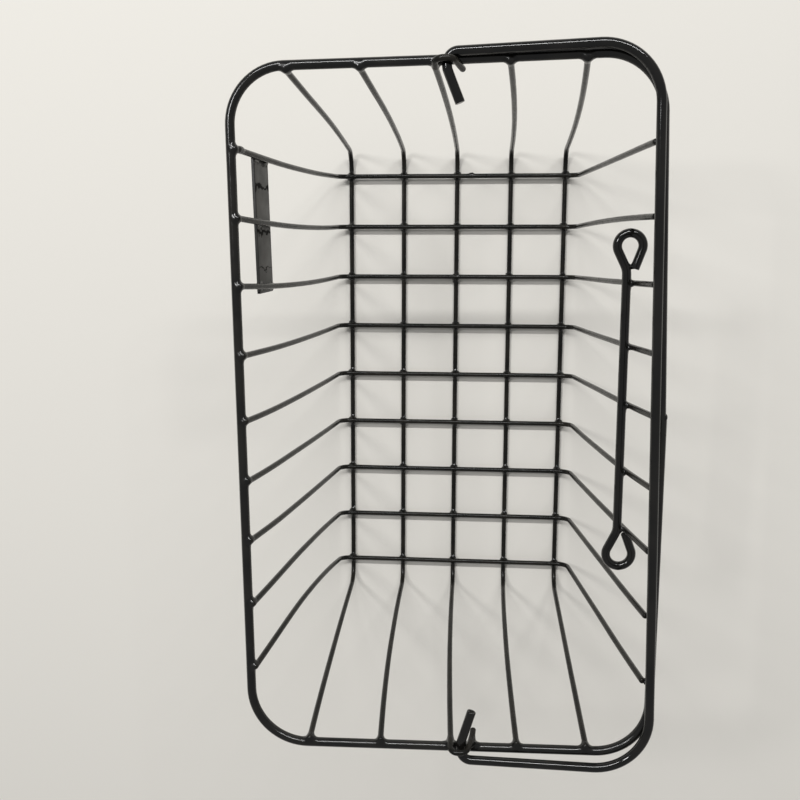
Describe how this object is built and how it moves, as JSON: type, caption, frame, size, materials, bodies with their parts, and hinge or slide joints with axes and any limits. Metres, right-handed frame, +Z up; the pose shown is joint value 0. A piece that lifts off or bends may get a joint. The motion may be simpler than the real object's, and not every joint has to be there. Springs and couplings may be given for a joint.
{
  "type": "wire bicycle basket",
  "caption": "Open rectangular wire basket with flared walls, a thick rim, a swinging bail handle, a rear hanger rod with end loops and a flat badge strip on the front.",
  "frame": {"origin": "middle of the base, on the underside of the middle long wire", "axes": "+X along the basket's length, +Y towards the rear wall that carries the hanger rod, +Z up out of the mouth"},
  "size_m": [0.3968, 0.2344, 0.2265],
  "materials": {
    "rim_enamel": "gloss black dip enamel",
    "wire_enamel": "gloss black dip enamel",
    "handle_enamel": "gloss black dip enamel",
    "rod_enamel": "gloss black dip enamel",
    "strip_enamel": "gloss black dip enamel"
  },
  "bodies": {
    "basket": {"rim": "rim_enamel", "long_wire_1": "wire_enamel", "long_wire_2": "wire_enamel", "long_wire_3": "wire_enamel", "long_wire_4": "wire_enamel", "long_wire_5": "wire_enamel", "cross_wire_1": "wire_enamel", "cross_wire_2": "wire_enamel", "cross_wire_3": "wire_enamel", "cross_wire_4": "wire_enamel", "cross_wire_5": "wire_enamel", "cross_wire_6": "wire_enamel", "cross_wire_7": "wire_enamel", "cross_wire_8": "wire_enamel", "cross_wire_9": "wire_enamel", "hanger_rod": "rod_enamel", "badge_strip": "strip_enamel"},
    "handle": {"handle": "handle_enamel"}
  },
  "joints": [
    {"name": "handle_swing", "type": "hinge", "parent": "basket", "child": "handle", "pos_m": [0, 0.0057, 0.2196], "axis": [0.9999, 0.0148, 0], "range_deg": [0, 180]}
  ]
}
